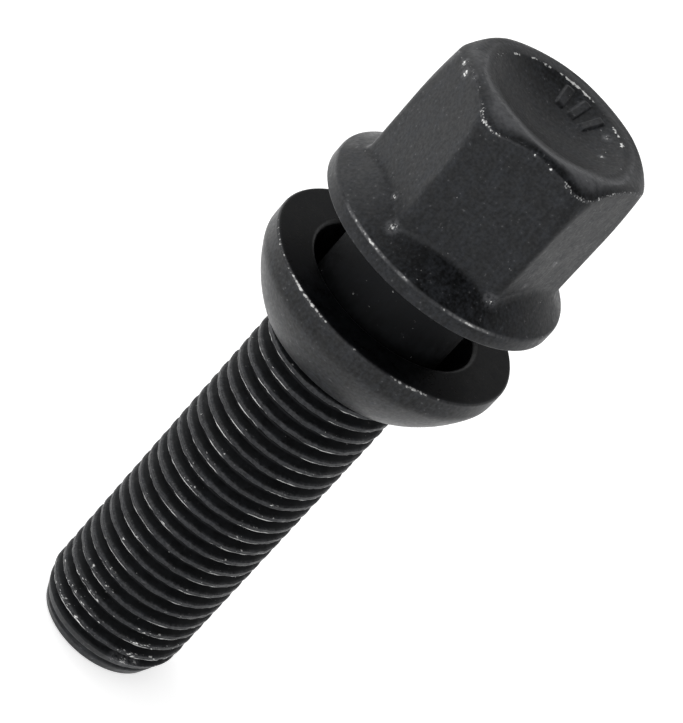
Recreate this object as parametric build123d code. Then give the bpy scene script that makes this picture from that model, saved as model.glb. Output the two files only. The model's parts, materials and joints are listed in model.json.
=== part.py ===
from build123d import *
from math import radians, sqrt, tan
import os

# Wheel bolt with a loose ball collar, standing on its point, in millimetres.
# +Z runs along the axis from the point to the head, and the origin is the centre of the end face.

# Shank
thread_d = 13.8
thread_length = 37.9
run_out_angle = 30.0
neck_d = 13.1
neck_length = 12.85
neck_flare = 0.8
point_d = 11.5
point_angle = 22.5
point_edge = 0.3

# Flange
flange_d = 23.0
flange_rim_h = 1.4
flange_edge = 0.2
flange_slope = 39.0

# Hexagon head
hex_across_flats = 17.0
hex_corner_r = 0.9
hex_foot_r = 0.5
head_h = 15.8
head_chamfer_angle = 35.0
rim_outer_d = 16.2
rim_crown = 0.08
dish_d = 13.2
dish_depth = 2.0

# Ball collar
collar_d = 24.0
collar_h = 6.6
collar_edge = 0.25
ball_margin = 1.0
ball_low_d = 17.4
mouth_d = 16.5
mouth_edge = 0.4
bore_land_h = 2.0
bore_chamfer = 0.15

# Clearances
neck_clearance = 0.15
run_out_clearance = 0.05

# Heights and radii that follow from the sizes above
thread_r = thread_d / 2
neck_r = neck_d / 2
flange_r = flange_d / 2
flange_z = thread_length + neck_length
top_z = flange_z + head_h
bore_r = neck_r + neck_clearance
collar_stop_z = thread_length + (thread_r - bore_r) / tan(radians(run_out_angle))
collar_z = collar_stop_z + run_out_clearance - bore_chamfer


def turned(*outline):
    """Solid of revolution about Z from a closed outline of lines and arcs in (radius, height)."""
    return revolve(Plane.XZ * make_face(outline), Axis.Z)


def ring_edges(solid, radius, height):
    """Round edges of one radius at one height."""
    circles = solid.edges().filter_by(GeomType.CIRCLE)
    return [e for e in circles if abs(e.radius - radius) < 0.01 and abs(e.arc_center.Z - height) < 0.01]


def shank_and_flange():
    """Point, thread at its crest diameter, neck and the flange with its sloping top."""
    point_r = point_d / 2
    point_h = (thread_r - point_r) / tan(radians(point_angle))
    run_out_h = (thread_r - neck_r) / tan(radians(run_out_angle))
    rim_z = flange_z + flange_rim_h
    slope_top_z = rim_z + flange_r * tan(radians(flange_slope))
    outline = Polyline(
        (0, 0),
        (point_r, 0),
        (thread_r, point_h),
        (thread_r, thread_length),
        (neck_r, thread_length + run_out_h),
        (neck_r, flange_z),
        (flange_r, flange_z),
        (flange_r, rim_z),
        (0, slope_top_z),
        close=True,
    )
    solid = turned(*outline.edges())
    solid = chamfer(ring_edges(solid, point_r, 0), point_edge)
    solid = chamfer(ring_edges(solid, neck_r, flange_z), neck_flare)
    rim_edges = ring_edges(solid, flange_r, flange_z) + ring_edges(solid, flange_r, rim_z)
    return chamfer(rim_edges, flange_edge)


def crown():
    """Turned envelope of the head's top: dish, rounded rim and a chamfer that runs out past the corners."""
    rim_outer_r = rim_outer_d / 2
    dish_r = dish_d / 2
    rim_z = top_z - rim_crown
    wide_r = hex_across_flats
    wide_z = rim_z - (wide_r - rim_outer_r) * tan(radians(head_chamfer_angle))
    base_z = flange_z + flange_rim_h / 2
    return turned(
        Line((0, base_z), (wide_r, base_z)),
        Line((wide_r, base_z), (wide_r, wide_z)),
        Line((wide_r, wide_z), (rim_outer_r, rim_z)),
        ThreePointArc((rim_outer_r, rim_z), ((rim_outer_r + dish_r) / 2, top_z), (dish_r, rim_z)),
        TangentArc((0, rim_z - dish_depth), (dish_r, rim_z), tangent=(1, 0)),
        Line((0, rim_z - dish_depth), (0, base_z)),
    )


def hexagon_head():
    """Hexagon with rounded corners, trimmed by the crown."""
    section = RegularPolygon(hex_across_flats / 2, 6, major_radius=False)
    section = fillet(section.vertices(), hex_corner_r)
    prism = Pos(0, 0, flange_z) * extrude(section, head_h)
    return prism & crown()


def bolt():
    """One forged piece, with a fillet where the hexagon meets the flange's slope."""
    solid = shank_and_flange() + hexagon_head()
    foot_low_z = flange_z + flange_rim_h
    foot_high_z = foot_low_z + (flange_r - hex_across_flats / 2 + hex_foot_r) * tan(radians(flange_slope))
    foot = [
        e
        for e in solid.edges()
        if foot_low_z + flange_edge < e.bounding_box().min.Z and e.bounding_box().max.Z < foot_high_z
    ]
    return fillet(foot, hex_foot_r)


def collar():
    """Ring with a spherical underside, a flared mouth and a narrow land that the thread crests can't pass."""
    collar_r = collar_d / 2
    mouth_r = mouth_d / 2
    ball_low_r = ball_low_d / 2
    ball_r = collar_r + ball_margin
    ball_centre_z = collar_z + sqrt(ball_r**2 - ball_low_r**2)
    band_z = ball_centre_z - sqrt(ball_r**2 - collar_r**2)
    collar_top_z = collar_z + collar_h
    ring = turned(
        Line((bore_r + bore_chamfer, collar_z), (ball_low_r, collar_z)),
        RadiusArc((ball_low_r, collar_z), (collar_r, band_z), -ball_r),
        Line((collar_r, band_z), (collar_r, collar_top_z)),
        Line((collar_r, collar_top_z), (mouth_r, collar_top_z)),
        Line((mouth_r, collar_top_z), (bore_r, collar_z + bore_land_h)),
        Line((bore_r, collar_z + bore_land_h), (bore_r, collar_z + bore_chamfer)),
        Line((bore_r, collar_z + bore_chamfer), (bore_r + bore_chamfer, collar_z)),
    )
    ring = chamfer(ring_edges(ring, collar_r, collar_top_z), collar_edge)
    return chamfer(ring_edges(ring, mouth_r, collar_top_z), mouth_edge)


os.makedirs("parts", exist_ok=True)
for name, solid in (("bolt", bolt()), ("collar", collar())):
    export_step(solid, f"parts/{name}.step")
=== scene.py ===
import json
from math import atan2, ceil, cos, hypot, radians, sin, sqrt, tan, tau

import bmesh
import bpy
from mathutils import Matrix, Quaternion, Vector, noise


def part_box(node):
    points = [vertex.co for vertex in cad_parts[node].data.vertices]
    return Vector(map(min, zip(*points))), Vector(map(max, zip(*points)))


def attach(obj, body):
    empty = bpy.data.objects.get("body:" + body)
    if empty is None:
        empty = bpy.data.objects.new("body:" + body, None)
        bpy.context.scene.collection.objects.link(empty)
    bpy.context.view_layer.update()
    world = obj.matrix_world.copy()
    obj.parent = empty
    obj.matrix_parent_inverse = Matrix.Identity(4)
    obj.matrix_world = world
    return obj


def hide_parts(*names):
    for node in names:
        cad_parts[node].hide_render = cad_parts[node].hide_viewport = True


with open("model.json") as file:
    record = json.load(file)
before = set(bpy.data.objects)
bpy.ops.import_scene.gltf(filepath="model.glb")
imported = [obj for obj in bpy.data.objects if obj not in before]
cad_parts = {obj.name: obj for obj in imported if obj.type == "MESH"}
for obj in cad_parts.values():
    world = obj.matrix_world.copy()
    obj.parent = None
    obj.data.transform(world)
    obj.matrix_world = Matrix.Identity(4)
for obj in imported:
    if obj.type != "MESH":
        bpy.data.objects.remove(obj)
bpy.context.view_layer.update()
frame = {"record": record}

# The bolt is one length of steel, cold-headed into a dished hexagon on a sloping flange.
# Its thread is rolled, so each crest is two lips with a seam between them and fades into the neck.
# A thin black coat covers it all, rubbed grey on the crests and chipped to bare steel on the edges.
# Shade is painted into the coat: it is darker in the thread's grooves and on the neck under the flange.
mm = 0.001
mounts = {mount["name"]: mount for mount in frame["record"]["mounts"]}
bolt_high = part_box("bolt")[1]

pitch = 1.5 * mm
crest_r = mounts["thread"]["dims"]["r_mm"] * mm
crest_z = 0.961 * mm
thread_end_z = 37.9 * mm
run_out_slope = tan(radians(30))
root_fade_z = 36.7 * mm
neck_r = 6.55 * mm
neck_z = 39.6 * mm
point_r = 5.75 * mm
point_angle = radians(22.5)
point_slope = tan(point_angle)
point_edge = 0.3 * mm
turn_steps = 150
spare_turns = 3
merge_gap = 0.005 * mm
cut_gap = 0.0001 * mm

# Half of the rolled profile: distance from the crest's middle and depth below its lips, in millimetres
thread_profile = [(0.0, 0.03), (0.1, 0.0), (0.19, 0.015), (0.225, 0.055), (0.26, 0.115), (0.43, 0.41),
                  (0.6, 0.705), (0.66, 0.79), (0.75, 0.82)]
root_r = crest_r - thread_profile[-1][1] * mm


def ease(value, low, high):
    """Smooth rise from 0 at low to 1 at high."""
    share = min(max((value - low) / (high - low), 0), 1)
    return share * share * (3 - 2 * share)


def at_polar(r, polar, z):
    """Point at a radius, a direction about the axis and a height."""
    return Vector((r * cos(polar), r * sin(polar), z))


bm = bmesh.new()
start_z = crest_z - spare_turns * pitch
turns = ceil((neck_z - start_z) / pitch) + 1
profile = [(-away, depth) for away, depth in reversed(thread_profile)] + thread_profile[1:]
line = [bm.verts.new((crest_r - depth * mm, 0, start_z + away * mm)) for away, depth in profile]
wire = [bm.edges.new(pair) for pair in zip(line, line[1:])]
bmesh.ops.spin(bm, geom=line + wire, cent=(0, 0, 0), axis=(0, 0, 1), dvec=(0, 0, pitch / turn_steps),
               angle=tau, steps=turn_steps, use_merge=False)
one_turn = bm.verts[:] + bm.edges[:] + bm.faces[:]
for turn in range(1, turns):
    copy = bmesh.ops.duplicate(bm, geom=one_turn)["geom"]
    moved = [g for g in copy if isinstance(g, bmesh.types.BMVert)]
    bmesh.ops.translate(bm, verts=moved, vec=(0, 0, turn * pitch))
bmesh.ops.remove_doubles(bm, verts=bm.verts, dist=merge_gap)

# Rolling leaves the lips uneven: they wander along the axis and dip in places.
# The wander is two waves, each with its features per millimetre and its weight.
lip_wander = 0.08 * mm
lip_waves = ((0.9, 1.0), (2.4, 0.7))
lip_dip = 0.1 * mm
dip_waves = 1.5
dip_offset = Vector((0, 0, 40))
lip_foot_r = crest_r - 0.05 * mm
for v in bm.verts:
    r, polar = hypot(v.co.x, v.co.y), atan2(v.co.y, v.co.x)
    share = ease(r, root_r, lip_foot_r)
    spot = at_polar(crest_r, polar, v.co.z) / mm
    z = v.co.z + share * lip_wander * sum(weight * noise.noise(spot * waves) for waves, weight in lip_waves)
    dip = max(noise.noise(spot * dip_waves + dip_offset), 0)
    v.co = at_polar(r - share * lip_dip * dip, polar, z)

point_edge_z = point_edge * cos(point_angle)
point_edge_r = point_r + point_edge * sin(point_angle)
point_z = (crest_r - point_r) / point_slope
run_out_z = thread_end_z + (crest_r - neck_r) / run_out_slope


def cut(bm, z, **clear):
    """Cuts the mesh level at a height and gives the edges of the cut."""
    whole = bm.verts[:] + bm.edges[:] + bm.faces[:]
    made = bmesh.ops.bisect_plane(bm, geom=whole, dist=cut_gap, plane_co=(0, 0, z), plane_no=(0, 0, 1),
                                  **clear)
    return [g for g in made["geom_cut"] if isinstance(g, bmesh.types.BMEdge)]


for z in (point_edge_z, point_z, thread_end_z, run_out_z):
    cut(bm, z)
end_slope = (point_edge_r - point_r + point_edge) / point_edge_z
for v in bm.verts:
    z, polar = v.co.z, atan2(v.co.y, v.co.x)
    point = min(point_r - point_edge + z * end_slope, point_r + z * point_slope)
    run_out = max(crest_r - (z - thread_end_z) * run_out_slope, neck_r)
    shallow = root_r + (neck_r - root_r) * ease(z, root_fade_z, run_out_z)
    v.co = at_polar(min(max(hypot(v.co.x, v.co.y), shallow), point, run_out), polar, z)
end_ring = cut(bm, 0, clear_inner=True)
neck_ring = cut(bm, neck_z, clear_outer=True)
bmesh.ops.edgeloop_fill(bm, edges=end_ring)

# From the neck up, every ring of the head has the same directions, close together at the hexagon's corners
flange_r = bolt_high.x
flange_z = 50.75 * mm
flange_rim_z = 52.15 * mm
flange_slope = tan(radians(39))
hex_apothem = 8.5 * mm
hex_corner_r = 0.9 * mm
top_corner_r = 2.9 * mm
corner_fall_z = 60.0 * mm
top_z = bolt_high.z
rim_crown = 0.08 * mm
rim_r = 8.3 * mm
rim_shift = 0.26 * mm
rim_shift_polar = radians(60)
rim_z = top_z - rim_crown
chamfer_angle = radians(42)
chamfer_slope = tan(chamfer_angle)
dish_r = 6.6 * mm
dish_depth = 2.0 * mm
flat_steps = 14
corner_steps = 18

sixth = tau / 6
top_flat_half = (hex_apothem - top_corner_r) * tan(sixth / 2)
flat_half_angle = atan2(top_flat_half, hex_apothem)
corner_angle = sixth - 2 * flat_half_angle


def hexagon_r(polar, corner_r):
    """Radius of the hexagon with its corners rounded, in a direction about the axis."""
    away = abs((polar + tau / 4 + sixth / 2) % sixth - sixth / 2)
    if hex_apothem * tan(away) < (hex_apothem - corner_r) * tan(sixth / 2):
        return hex_apothem / cos(away)
    aside = sixth / 2 - away
    centre_r = (hex_apothem - corner_r) / cos(sixth / 2)
    return centre_r * cos(aside) + sqrt(corner_r**2 - (centre_r * sin(aside)) ** 2)


directions = []
for side in range(6):
    middle = side * sixth - tau / 4
    directions += [middle + flat_half_angle * (2 * i / flat_steps - 1) for i in range(flat_steps)]
    directions += [middle + flat_half_angle + corner_angle * i / corner_steps for i in range(corner_steps)]


def add_ring(bm, ring, place):
    """Extrudes an open ring and moves each new vertex to the radius and height for its direction."""
    made = bmesh.ops.extrude_edge_only(bm, edges=ring)["geom"]
    for v in [g for g in made if isinstance(g, bmesh.types.BMVert)]:
        polar = atan2(v.co.y, v.co.x)
        r, z = place(polar)
        v.co = at_polar(r, polar, z)
    return [g for g in made if isinstance(g, bmesh.types.BMEdge)]


def round_over(bm, edges, width, segments):
    """Rounds the corner along a ring of edges."""
    bmesh.ops.bevel(bm, geom=edges, offset=width, offset_type="OFFSET", affect="EDGES", segments=segments,
                    profile=0.5, material=-1, clamp_overlap=False)


def foot(polar):
    """Where the hexagon stands on the flange's slope."""
    r = hexagon_r(polar, hex_corner_r)
    return r, flange_rim_z + (flange_r - r) * flange_slope


# The ridge round the dish bulges toward the flats and is wider on the far side.
# The chamfer round it is a little off centre.
ridge_r = 7.6 * mm
ridge_bulge = 0.15 * mm
ridge_far = 0.45 * mm
edge_round = 0.14 * mm
edge_steps = 3
crown_steps = 11
lip_steps = 4


def ridge(polar):
    """Radius of the ridge's highest line in a direction about the axis."""
    toward_far = max(cos(polar - rim_shift_polar), 0)
    return ridge_r - ridge_bulge * cos(6 * polar) + ridge_far * toward_far**2


def crown_height(polar, r):
    """Height of the head's top: a chamfer, the rounded ridge, and the ridge's fall to the dish."""
    top_r = ridge(polar)
    chamfer_r = rim_r + rim_shift * cos(polar - rim_shift_polar)
    level_r = chamfer_r - rim_crown / chamfer_slope
    reach = level_r - top_r
    if r > level_r + reach * cos(chamfer_angle):
        return rim_z - (r - chamfer_r) * chamfer_slope
    arc_r = reach / tan(chamfer_angle / 2)
    if r < top_r:
        arc_r = ((top_r - dish_r) ** 2 + rim_crown**2) / (2 * rim_crown)
    return top_z - arc_r + sqrt(arc_r**2 - (r - top_r) ** 2)


def shoulder(polar):
    """Line from a flat over its worn edge, the chamfer and the ridge to the dish."""
    outer_r = hexagon_r(polar, top_corner_r)
    inner_r = outer_r - edge_round
    edge = Vector((outer_r, crown_height(polar, outer_r)))
    low = edge - Vector((0, edge_round))
    inner = Vector((inner_r, crown_height(polar, inner_r)))
    shares = [i / edge_steps for i in range(edge_steps + 1)]
    points = [low * (1 - t) ** 2 + edge * 2 * t * (1 - t) + inner * t**2 for t in shares]
    radii = [inner_r + (ridge(polar) - inner_r) * i / crown_steps for i in range(1, crown_steps + 1)]
    radii += [ridge(polar) + (dish_r - ridge(polar)) * i / lip_steps for i in range(1, lip_steps + 1)]
    return points + [Vector((r, crown_height(polar, r))) for r in radii]


# The steel didn't quite fill the die's corners, so the hexagon's corners round off toward the top
wall_steps = 7


def wall(polar, share):
    """Point of a flat or a corner, from where the rounding starts up to the edge of the top."""
    edge_z = shoulder(polar)[0].y
    corner_r = hex_corner_r + (top_corner_r - hex_corner_r) * share**2
    return hexagon_r(polar, corner_r), corner_fall_z + (edge_z - corner_fall_z) * share


bridge_h = 0.4 * mm
first_ring = bmesh.ops.create_circle(bm, cap_ends=False, segments=len(directions), radius=neck_r)["verts"]
for v, polar in zip(first_ring, directions):
    v.co = at_polar(neck_r, polar, neck_z + bridge_h)
ring = list({e for v in first_ring for e in v.link_edges})
bmesh.ops.bridge_loops(bm, edges=neck_ring + ring)

neck_top = add_ring(bm, ring, lambda polar: (neck_r, flange_z))
flange_low = add_ring(bm, neck_top, lambda polar: (flange_r, flange_z))
flange_high = add_ring(bm, flange_low, lambda polar: (flange_r, flange_rim_z))
hex_foot = add_ring(bm, flange_high, foot)
ring = hex_foot
for i in range(wall_steps):
    ring = add_ring(bm, ring, lambda polar: wall(polar, i / wall_steps))
for i in range(len(shoulder(0))):
    ring = add_ring(bm, ring, lambda polar: shoulder(polar)[i])
dish_edge = ring
dish_arc_r = (dish_r**2 + dish_depth**2) / (2 * dish_depth)


def dish_height(r):
    """Height of the dish at a radius."""
    return rim_z - dish_depth + dish_arc_r - sqrt(dish_arc_r**2 - r**2)


dish_steps = 20
for i in range(1, dish_steps):
    r = dish_r * (1 - i / dish_steps)
    ring = add_ring(bm, ring, lambda polar: (r, dish_height(r)))
bmesh.ops.edgeloop_fill(bm, edges=ring)

# Each rounded edge with its width in millimetres and its segments
roundings = ((neck_top, 0.8, 5), (flange_low, 0.2, 3), (flange_high, 0.22, 3), (hex_foot, 0.5, 5),
             (dish_edge, 0.07, 2))
for edges, width, segments in roundings:
    round_over(bm, edges, width * mm, segments)

# Three plain raised bars stand on the far wall of the dish
bar_polars = [radians(a) for a in (88, 70, 52)]
bar_inner_r, bar_outer_r = 4.2 * mm, 6.0 * mm
bar_half_width = 0.3 * mm
bar_height = 0.2 * mm
bar_draft = 0.16 * mm
bar_margin_in, bar_margin_out = 0.5 * mm, 0.4 * mm
bar_margin_polar = 0.16
bar_cuts = 2


def near_bars(co):
    """Whether a point of the dish is on a bar or close to one."""
    r, polar = hypot(co.x, co.y), atan2(co.y, co.x)
    inside = bar_inner_r - bar_margin_in < r < bar_outer_r + bar_margin_out and co.z > flange_rim_z
    return inside and bar_polars[-1] - bar_margin_polar < polar < bar_polars[0] + bar_margin_polar


fine = {e for f in bm.faces if near_bars(f.calc_center_median()) for e in f.edges}
bmesh.ops.subdivide_edges(bm, edges=list(fine), cuts=bar_cuts, use_grid_fill=True)
for v in bm.verts:
    if near_bars(v.co):
        r, polar = hypot(v.co.x, v.co.y), atan2(v.co.y, v.co.x)
        across = min(abs(r * sin(polar - bar)) for bar in bar_polars)
        along = max(bar_inner_r - r, r - bar_outer_r, 0)
        v.co.z += bar_height * (1 - ease(hypot(max(across - bar_half_width, 0), along), 0, bar_draft))

bmesh.ops.recalc_face_normals(bm, faces=bm.faces)


def piece_from(bm, name):
    """Object with the mesh, smooth shaded so that large faces stay even."""
    for face in bm.faces:
        face.smooth = True
    mesh = bpy.data.meshes.new(name)
    bm.to_mesh(mesh)
    bm.free()
    piece = bpy.data.objects.new(name, mesh)
    bpy.context.scene.collection.objects.link(piece)
    piece.modifiers.new("even_normals", "WEIGHTED_NORMAL").keep_sharp = True
    return piece


class Shade:
    """A socket of a material. Python's operators on it add Math nodes."""

    def __init__(self, tree, socket=None):
        self.tree = tree
        self.socket = socket

    def node(self, kind, settings, inputs, output=0):
        """Adds a node: its settings first, then the values or links of its sockets."""
        made = self.tree.nodes.new("ShaderNode" + kind)
        for name, value in settings.items():
            setattr(made, name, value)
        for name, value in inputs.items():
            if isinstance(value, Shade):
                self.tree.links.new(value.socket, made.inputs[name])
            else:
                made.inputs[name].default_value = value
        return Shade(self.tree, made.outputs[output])

    def maths(self, operation, *values):
        """Adds a Math node."""
        return self.node("Math", {"operation": operation}, dict(enumerate(values)))

    def __add__(self, other):
        return self.maths("ADD", self, other)

    def __sub__(self, other):
        return self.maths("SUBTRACT", self, other)

    def __rsub__(self, other):
        return self.maths("SUBTRACT", other, self)

    def __mul__(self, other):
        return self.maths("MULTIPLY", self, other)

    def __truediv__(self, other):
        return self.maths("DIVIDE", self, other)

    def __abs__(self):
        return self.maths("ABSOLUTE", self)

    __radd__ = __add__

    def most(self, other):
        """The larger of the two."""
        return self.maths("MAXIMUM", self, other)

    def beside(self, other):
        """Length of the hypotenuse over two legs."""
        return self.maths("SQRT", self * self + other * other)

    def rise(self, low, high):
        """Smooth rise from 0 at low to 1 at high."""
        values = {"Value": self, "From Min": low, "From Max": high}
        return self.node("MapRange", {"interpolation_type": "SMOOTHSTEP"}, values)

    def stretched(self, shares):
        """This place with each axis scaled, so that noise on it is drawn out along the short ones."""
        return self.node("VectorMath", {"operation": "MULTIPLY"}, {0: self, 1: shares})

    def cloud(self, scale, detail):
        """Noise at this place, in features per millimetre."""
        return self.node("TexNoise", {}, {"Vector": self, "Scale": scale, "Detail": detail})

    def blend(self, low, high):
        """Colour from low to high by this share."""
        return self.node("Mix", {"data_type": "RGBA"}, {0: self, 6: low, 7: high}, 2)

    def round_ramp(self, strengths):
        """Strength by direction about the axis, from pairs of degrees and strength."""
        made = self.node("ValToRGB", {}, {0: self / tau + 0.5})
        ramp = made.socket.node.color_ramp.elements
        seam = (strengths[0][1] + strengths[-1][1]) / 2
        for end in ramp:
            end.color = (seam, seam, seam, 1)
        for degrees, strength in strengths:
            ramp.new((degrees + 180) / 360).color = (strength, strength, strength, 1)
        return made


def new_finish(name):
    """A material, and the piece's own place in millimetres."""
    material = bpy.data.materials.new(name)
    material.use_nodes = True
    own = Shade(material.node_tree).node("TexCoord", {}, {}, "Object")
    return material, own.node("VectorMath", {"operation": "SCALE"}, {"Vector": own, "Scale": 1 / mm})


coat_black = (0.0012, 0.0013, 0.0015, 1)
coat_grey = (0.0145, 0.0162, 0.0196, 1)
# Grey of the rubbed coat, also used for the painted highlight on the ridge
rub_and_highlight_grey = (0.07, 0.071, 0.075, 1)
bare_steel = (0.7, 0.7, 0.69, 1)
coat_tint = (0.96, 0.985, 1.03, 1)
coat_roughness = 0.44
sheen_spread = 0.75
grain_strength = 0.25
grain_depth = 0.03 * mm


def black_coat(material, place, rub_and_highlight, bare, painted_shade_and_dull, dulling, gloss, sheen):
    """Satin black coat with a fine grain.

    It is painted darker as shade in recesses and under overhangs, and rougher there by the dulling.
    It is greyer where rubbing wore it or where a highlight is painted, and bare where chipped.
    Its gloss is even. The sheen on top of that varies in fine patches, and is gone in the painted shade.
    """
    tree = material.node_tree
    shader = tree.nodes["Principled BSDF"]
    grain = place.cloud(4.0, 5)
    drawn = place.stretched((1, 1, 0.15)).cloud(3.5, 3)
    mottle = place.cloud(0.8, 3)
    specks = place.cloud(3.2, 1).rise(0.71, 0.78)
    uneven_sheen = ((place.cloud(3.2, 5) - 0.5) * sheen_spread + sheen).most(0) * (1 - painted_shade_and_dull)
    greyer = (grain - 0.5) * 1.8 + (drawn - 0.5) * 1.6 + (mottle - 0.5) * 1.8 + 0.24
    # Painted shade: the coat's colour is darker in recesses and under overhangs.
    coat = (greyer * (1 - painted_shade_and_dull * 0.7)).blend(coat_black, coat_grey)
    lighter = rub_and_highlight.most(specks * (0.65 - painted_shade_and_dull * 0.5)).blend(coat, rub_and_highlight_grey)
    colour = bare.blend(lighter, bare_steel)
    rough = coat_roughness + (mottle - 0.5) * 0.3 + (grain - 0.5) * 0.4 + (drawn - 0.5) * 0.2
    rough = rough - rub_and_highlight * 0.08 + bare * 0.1 + painted_shade_and_dull * dulling
    height = grain + mottle * 0.35 - bare * 0.3 + specks * 0.4
    bump = place.node("Bump", {}, {"Strength": grain_strength, "Distance": grain_depth, "Height": height})
    varied = {"Base Color": colour, "Roughness": rough, "Metallic": bare, "Coat Weight": uneven_sheen,
              "Normal": bump}
    for name, value in varied.items():
        tree.links.new(value.socket, shader.inputs[name])
    shader.inputs["Coat Roughness"].default_value = coat_roughness
    shader.inputs["Specular IOR Level"].default_value = gloss
    shader.inputs["Specular Tint"].default_value = coat_tint


def about_axis(place):
    """A place's X, Y and height, its distance from the axis and its direction about it."""
    split = place.node("SeparateXYZ", {}, {"Vector": place})
    x, y, z = (Shade(place.tree, out) for out in split.socket.node.outputs)
    return x, y, z, x.beside(y), y.maths("ARCTAN2", y, x)


bolt_finish, place = new_finish("black_coat_on_bolt")
x, y, z, radius, polar = about_axis(place)
flecks = place.cloud(5.5, 4) + (place.cloud(1.3, 2) - 0.5) * 0.5
dashes = place.cloud(2.6, 6)

# How worn each edge is, by direction in degrees about the axis
head_edge_wear = [(-172, 0.55), (-152, 0.6), (-138, 0.35), (-127, 0.9), (-117, 1.0), (-111, 0.55),
                  (-99, 0.3), (-84, 0.42), (-76, 0.3), (-69, 0.8), (-61, 1.0), (-54, 0.8), (-40, 0.65),
                  (-10, 0.6), (0, 0.8), (30, 0.3), (60, 0.85), (90, 0.3), (120, 0.85), (150, 0.3)]
flange_edge_wear = [(-145, 0.25), (-138, 0.8), (-122, 0.95), (-110, 0.75), (-107, 0.2), (-104, 0.95),
                    (-99, 0.8), (-96, 0.1), (-88, 0.15), (-82, 0.5), (-76, 0.8), (-62, 0.85), (-50, 0.4),
                    (-40, 0.2), (20, 0.55), (50, 0.25), (95, 0.7), (140, 0.3)]
dish_edge_wear = [(-170, 0.2), (-20, 0.2), (-5, 0.8), (10, 0.3), (30, 0.7), (38, 0.95), (46, 0.9), (53, 0.3),
                  (58, 0.9), (64, 0.3), (73, 0.85), (80, 1.02), (98, 1.06), (104, 0.55), (112, 0.95),
                  (119, 0.45), (126, 0.95), (133, 0.45), (143, 1.0), (150, 0.45), (161, 1.0), (168, 0.4)]
chip_raggedness = 2.4
chip_from, chip_full = 0.75, 1.25


def chipped(nearness, strength, flecks):
    """Where the coat has gone: close to a worn edge, in ragged flecks."""
    return (nearness * strength + (flecks - 0.5) * chip_raggedness).rise(chip_from, chip_full)


sixths = (polar + tau / 4) / sixth + 0.5
from_flat = (sixths.maths("FRACT", sixths) - 0.5) * sixth
past_flat = abs(radius * polar.maths("SINE", from_flat)) - top_flat_half / mm
out_flat = radius * polar.maths("COSINE", from_flat) - (hex_apothem - top_corner_r) / mm
flat_gap = top_corner_r / mm - out_flat.beside(past_flat.most(0))
shift = (x * cos(rim_shift_polar) + y * sin(rim_shift_polar)) / radius * (rim_shift / mm)
chamfer_gap = rim_z / mm - (radius - shift - rim_r / mm) * chamfer_slope - z
head_edge = chamfer_gap.beside(flat_gap)
flange_edge = (radius - flange_r / mm).beside(z - flange_rim_z / mm)
dish_lip = (radius - dish_r / mm).beside(z - rim_z / mm)
head_wear = polar.round_ramp(head_edge_wear)
bare = chipped(1 - head_edge.rise(0.0, 0.38), head_wear, flecks)
flange_wear = polar.round_ramp(flange_edge_wear)
bare = bare.most(chipped(1 - flange_edge.rise(0.05, 0.26), flange_wear, dashes))
worn_thin = (1 - flange_edge.rise(0.04, 0.2)) * flange_wear.rise(0.5, 0.9) * dashes.rise(0.3, 0.6)
bare = bare.most(worn_thin * 0.2)
ragged = dashes + (flecks - 0.5) * 0.72
bare = bare.most(chipped(1 - dish_lip.rise(0.02, 0.3), polar.round_ramp(dish_edge_wear), ragged))

# Single scuffs: the place and the reach of each in millimetres, and its strength
scuffs_at_foot = [((-5.0, -8.4, 53.55), 0.8, 0.75), ((4.6, -8.4, 53.85), 0.85, 0.75),
                  ((-6.2, -6.2, 54.75), 0.45, 0.9), ((6.4, -6.0, 55.5), 0.5, 0.75),
                  ((7.2, -4.5, 58.0), 0.5, 0.75)]
scuffs_at_top = [((-8.6, -2.1, 65.6), 0.6, 1.05), ((-8.1, -2.95, 65.35), 0.6, 1.05),
                 ((-7.5, -4.0, 66.0), 0.4, 0.9), ((-0.5, -8.45, 66.0), 0.2, 1.4),
                 ((1.15, -8.45, 65.92), 0.2, 1.4)]
scuffs_in_dish = [((4.7, 3.3, 65.95), 0.5, 0.85), ((4.95, 0.5, 65.55), 0.42, 0.85)]
scuffs_on_thread = [((2.0, -6.2, 2.3), 0.7, 0.8), ((2.9, -5.9, 2.5), 0.8, 0.8), ((3.8, -5.4, 2.7), 0.7, 0.8)]
scuff_core = 0.05
smears = 0.0
for spot, reach, strength in scuffs_at_foot + scuffs_at_top + scuffs_in_dish + scuffs_on_thread:
    away = place.node("VectorMath", {"operation": "DISTANCE"}, {0: place, 1: spot}, "Value")
    bare = bare.most(chipped(1 - away.rise(scuff_core, reach), strength, flecks))
    smears = (1 - away.rise(reach * 0.3, reach * 1.25)).most(smears)

# The thread's lower lips carry painted highlight lines of bare steel, strongest on two sides, and the crests
# have small nicks
thread_highlight_and_wear = [(-175, 0.4), (-145, 0.5), (-127, 0.85), (-115, 0.9), (-105, 0.45), (-95, 0.2), (-82, 0.25),
               (-72, 0.65), (-62, 0.85), (-50, 0.6), (-20, 0.4), (30, 0.3), (60, 0.8), (90, 0.3), (130, 0.7),
               (170, 0.35)]
lip_away = 0.18
worn = polar.round_ramp(thread_highlight_and_wear)
turn = (z - crest_z / mm) / (pitch / mm) - polar / tau + 0.5
from_crest = (turn - turn.maths("FLOOR", turn) - 0.5) * (pitch / mm)
crest_gap = radius - crest_r / mm
on_crest = (1 - z.rise(thread_end_z / mm, run_out_z / mm)) * crest_gap.rise(-0.2, -0.1)
lip = (1 - abs(abs(from_crest) - lip_away).rise(0.01, 0.06)) * on_crest * from_crest.rise(0.2, -0.12)
# Painted highlight: bare-steel lines on the lower lips stand in for the highlights there
lip_highlight = lip * (worn + (place.cloud(0.7, 3) - 0.5) * 2.0).rise(0.5, 0.9)
nick_marks = place.stretched((1, 1, 2.4)).cloud(2.3, 4)
nicks = on_crest * (worn * 0.35 + z.rise(12, 3) * 0.2 + (nick_marks - 0.5) * 2.2).rise(0.62, 0.8)
bare = bare.most(nicks).most(lip_highlight * 0.9)
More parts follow.
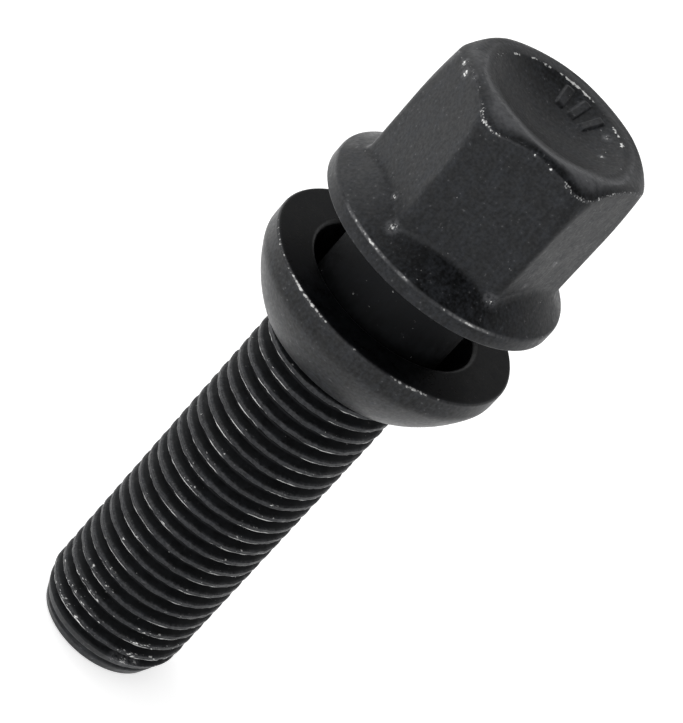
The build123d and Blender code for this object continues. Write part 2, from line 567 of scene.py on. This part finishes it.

# Elsewhere the coat is lighter: a painted highlight on the ridge's near side, and rubbed on the crests and
# the bars and beside chips and scuffs
past_ridge = radius - ridge_r / mm + polar.maths("COSINE", polar * 6) * (ridge_bulge / mm)
ridge_highlight_band = flat_gap.rise(0.25, 1.0) * past_ridge.rise(-0.85, -0.2)
ridge_highlight_line = 1 - abs(past_ridge + 0.1).rise(0.06, 0.24)
# Painted highlight: the ridge's band and line are lighter only on the side toward the camera
camera_side_of_ridge = polar.round_ramp([(-178, 0.6), (-155, 1.0), (-60, 1.0), (-20, 0.7), (10, 0.25), (120, 0.1)])
near_top = z.rise(top_z / mm - 1.95, top_z / mm - 1.35)
streaks = place.cloud(1.6, 4).rise(0.3, 0.6)
rub_and_highlight = (ridge_highlight_band * (streaks * 0.4 + 0.55) + ridge_highlight_line * streaks * 0.95) * camera_side_of_ridge * near_top
rub_and_highlight = rub_and_highlight.most(on_crest * place.cloud(4.5, 3).rise(0.35, 0.65) * 0.3)
halo = place.cloud(3.0, 4).rise(0.3, 0.65)
edge_rub = (1 - head_edge.rise(0.02, 0.24)) * (1 - flat_gap.rise(0.05, 0.14)) * head_wear
rub_and_highlight = rub_and_highlight.most(edge_rub * halo * 0.8).most(smears * halo)
rub_and_highlight = rub_and_highlight.most((1 - flange_edge.rise(0.06, 0.26)) * (flange_wear * 1.1 + 0.1) * (halo * 0.6 + 0.4))
dish_gap = z + z.maths("SQRT", (dish_arc_r / mm) ** 2 - radius * radius)
above_dish = (dish_gap - (rim_z - dish_depth + dish_arc_r) / mm).rise(0.1, 0.18)
in_dish = (1 - radius.rise(bar_outer_r / mm + 0.1, bar_outer_r / mm + 0.3)) * z.rise(60, 61)
rub_and_highlight = rub_and_highlight.most(above_dish * in_dish * 0.16)
below_flange = 1 - z.rise(flange_z / mm - 0.75, flange_z / mm - 0.25)
# Painted shade: the thread's grooves and the neck below the flange get a darker, duller coat.
painted_shade_and_dull = crest_gap.rise(-0.1, -0.3) * z.rise(1.5, 3.0) * below_flange
black_coat(bolt_finish, place, rub_and_highlight, bare, painted_shade_and_dull, dulling=0.2, gloss=0.225, sheen=0.12)

threaded_bolt = piece_from(bm, "threaded_bolt")
threaded_bolt.data.materials.append(bolt_finish)
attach(threaded_bolt, "bolt")
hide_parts("bolt")

# The collar is a loose turned ring, caught on the neck between the flange and the thread.
# Its ball-shaped underside centres it in a wheel's dished hole, and its mouth clears the neck's flare.
# It has a black coat too, dull and painted darker as shade on top and in the bore, and worn through along the
# upper edge.
collar_low, collar_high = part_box("collar")
collar_r = collar_high.x
ball_r = mounts["ball_seat"]["dims"]["r_mm"] * mm
ball_centre_z = mounts["ball_seat"]["pos_m"][2]
ball_low_r = sqrt(ball_r**2 - (ball_centre_z - collar_low.z) ** 2)
bore_r = 6.7 * mm
bore_chamfer = 0.15 * mm
bore_land_h = 2.0 * mm
mouth_r = 8.25 * mm
band_z = ball_centre_z - sqrt(ball_r**2 - collar_r**2)
ball_steps = 8
collar_steps = 168
collar_round_steps = 4
ring_tolerance = 0.01 * mm

low_tilt = atan2(collar_low.z - ball_centre_z, ball_low_r)
high_tilt = atan2(band_z - ball_centre_z, collar_r)
outline = [(bore_r + bore_chamfer, collar_low.z)]
for i in range(ball_steps + 1):
    tilt = low_tilt + (high_tilt - low_tilt) * i / ball_steps
    outline.append((ball_r * cos(tilt), ball_centre_z + ball_r * sin(tilt)))
outline += [(collar_r, collar_high.z), (mouth_r, collar_high.z), (bore_r, collar_low.z + bore_land_h),
            (bore_r, collar_low.z + bore_chamfer)]

bm = bmesh.new()
line = [bm.verts.new((r, 0, z)) for r, z in outline]
wire = [bm.edges.new(pair) for pair in zip(line, line[1:] + line[:1])]
bmesh.ops.spin(bm, geom=line + wire, cent=(0, 0, 0), axis=(0, 0, 1), angle=tau, steps=collar_steps,
               use_merge=True)
bmesh.ops.remove_doubles(bm, verts=bm.verts, dist=merge_gap)


def ring_edges(bm, r, z):
    """Edges of the circle of one radius at one height."""
    ends = [v for v in bm.verts if hypot(hypot(v.co.x, v.co.y) - r, v.co.z - z) < ring_tolerance]
    return [e for e in bm.edges if e.verts[0] in ends and e.verts[1] in ends]


# Each rounded edge of the collar: its radius, its height and its width in millimetres
collar_roundings = ((collar_r, collar_high.z, 0.25), (mouth_r, collar_high.z, 0.4), (collar_r, band_z, 0.35),
                    (ball_low_r, collar_low.z, 0.2), (bore_r, collar_low.z + bore_land_h, 0.3))
for r, z, width in collar_roundings:
    round_over(bm, ring_edges(bm, r, z), width * mm, collar_round_steps)
bmesh.ops.recalc_face_normals(bm, faces=bm.faces)

collar_finish, place = new_finish("black_coat_on_collar")
z, radius, polar = about_axis(place)[2:]
collar_edge_wear = [(-172, 0.3), (-166, 0.65), (-150, 0.75), (-141, 0.7), (-136, 1.0), (-119, 1.1),
                    (-113, 0.85), (-109, 0.3), (-99, 0.25), (-97, 0.85), (-94, 0.25), (-81, 0.3),
                    (-77, 0.95), (-66, 1.05), (-57, 0.6), (-48, 0.3), (30, 0.6), (60, 0.3), (110, 0.75),
                    (150, 0.4)]
collar_edge = (radius - collar_r / mm).beside(z - collar_high.z / mm)
collar_wear = polar.round_ramp(collar_edge_wear)
bare = chipped(1 - collar_edge.rise(0.08, 0.32), collar_wear, place.cloud(2.6, 6))
rub_and_highlight = (1 - collar_edge.rise(0.1, 0.4)) * collar_wear * 0.4
top_gap = z - collar_high.z / mm
# Painted shade: the top face under the flange and the bore get a darker coat.
painted_shade_and_dull = top_gap.rise(-0.06, 0.0).most((radius - mouth_r / mm).rise(0.2, -0.2))
black_coat(collar_finish, place, rub_and_highlight, bare, painted_shade_and_dull, dulling=-0.08, gloss=0.06, sheen=0.46)

ball_collar = piece_from(bm, "ball_collar")
ball_collar.data.materials.append(collar_finish)
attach(ball_collar, "collar")
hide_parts("collar")

# The bolt stands on a wide white floor in soft studio light, dark overhead and dimmer on the far side.
# The camera looks down on it from the front and is rolled, so that it leans across the picture.
floor_r = 3.0
floor_steps = 64
floor_white = (0.9, 0.9, 0.9, 1)
floor_glow = (0.7, 0.7, 0.7, 1)
camera_share = 0.85
right_dimming = 0.68
dim_from, dim_full = 10, 110
bm = bmesh.new()
bmesh.ops.create_circle(bm, cap_ends=True, segments=floor_steps, radius=floor_r)
floor_mesh = bpy.data.meshes.new("floor")
bm.to_mesh(floor_mesh)
bm.free()
floor = bpy.data.objects.new("floor", floor_mesh)
bpy.context.scene.collection.objects.link(floor)
floor_finish, place = new_finish("white_floor")
shader = floor_finish.node_tree.nodes["Principled BSDF"]
shader.inputs["Base Color"].default_value = floor_white
path = place.node("LightPath", {}, {}, "Is Camera Ray").socket.node.outputs
rightward = place.node("SeparateXYZ", {}, {"Vector": place}, "X")
mirrored = Shade(place.tree, path["Is Glossy Ray"]) * (1 - rightward.rise(dim_from, dim_full) * right_dimming)
looked_at = Shade(place.tree, path["Is Camera Ray"]) * camera_share
seen = mirrored.most(looked_at).most(Shade(place.tree, path["Is Transmission Ray"]))
glow = seen.blend((0, 0, 0, 1), floor_glow)
place.tree.links.new(glow.socket, shader.inputs["Emission Color"])
shader.inputs["Emission Strength"].default_value = 1.0
shader.inputs["Roughness"].default_value = 0.9
shader.inputs["Specular IOR Level"].default_value = 0.0
floor.data.materials.append(floor_finish)

sky_level = 0.82
rightward_fall = 0.12
away_fall = 0.05
overhead_dimming = 0.94
far_dimming = 0.4
world = bpy.data.worlds.new("studio")
bpy.context.scene.world = world
world.use_nodes = True
sky = Shade(world.node_tree)
direction = sky.node("TexCoord", {}, {}, "Generated")
aside = sky.node("SeparateXYZ", {}, {"Vector": direction}, "X")
away = sky.node("SeparateXYZ", {}, {"Vector": direction}, "Y")
overhead = Vector((0.35, -0.25, 0.9)).normalized()
far_side = Vector((0.1, 0.98, 0.15)).normalized()
toward_top = sky.node("VectorMath", {"operation": "DOT_PRODUCT"}, {0: direction, 1: overhead}, "Value")
toward_far = sky.node("VectorMath", {"operation": "DOT_PRODUCT"}, {0: direction, 1: far_side}, "Value")
level = sky_level - aside * rightward_fall - away * away_fall
level = level * (1 - toward_top.rise(0.72, 0.985) * overhead_dimming)
level = level * (1 - toward_far.rise(0.9, 1.0) * far_dimming)
world.node_tree.links.new(level.socket, world.node_tree.nodes["Background"].inputs["Strength"])
world.node_tree.nodes["Background"].inputs["Color"].default_value = (1, 1, 1, 1)

# Each lamp with its width in metres, its power in watts and its place in metres
lamps = (("key", 0.6, 1.4, (-0.54, 0.4, 0.6)), ("fill", 0.4, 0.9, (-0.15, -0.8, 0.25)))
for name, size, energy, spot in lamps:
    lamp = bpy.data.objects.new(name, bpy.data.lights.new(name, "AREA"))
    bpy.context.scene.collection.objects.link(lamp)
    lamp.data.size = size
    lamp.data.energy = energy
    lamp.location = spot
    lamp.rotation_mode = "QUATERNION"
    lamp.rotation_quaternion = (-lamp.location).to_track_quat("-Z", "Y")

camera = bpy.data.objects.new("camera", bpy.data.cameras.new("camera"))
bpy.context.scene.collection.objects.link(camera)
bpy.context.scene.camera = camera
camera_azimuth = radians(-8.6)
camera_elevation = radians(28.89)
camera_roll = radians(42.08)
camera_distance = 253.7 * mm
camera_target = Vector((0.37, 0, 36.5)) * mm
camera.data.lens = 150.3
camera.data.clip_start = 10 * mm
back = Vector((sin(camera_azimuth) * cos(camera_elevation), -cos(camera_azimuth) * cos(camera_elevation),
               sin(camera_elevation)))
camera.location = camera_target + back * camera_distance
camera.rotation_mode = "QUATERNION"
camera.rotation_quaternion = (-back).to_track_quat("-Z", "Y") @ Quaternion((0, 0, 1), camera_roll)
bpy.context.scene.view_settings.view_transform = "Standard"
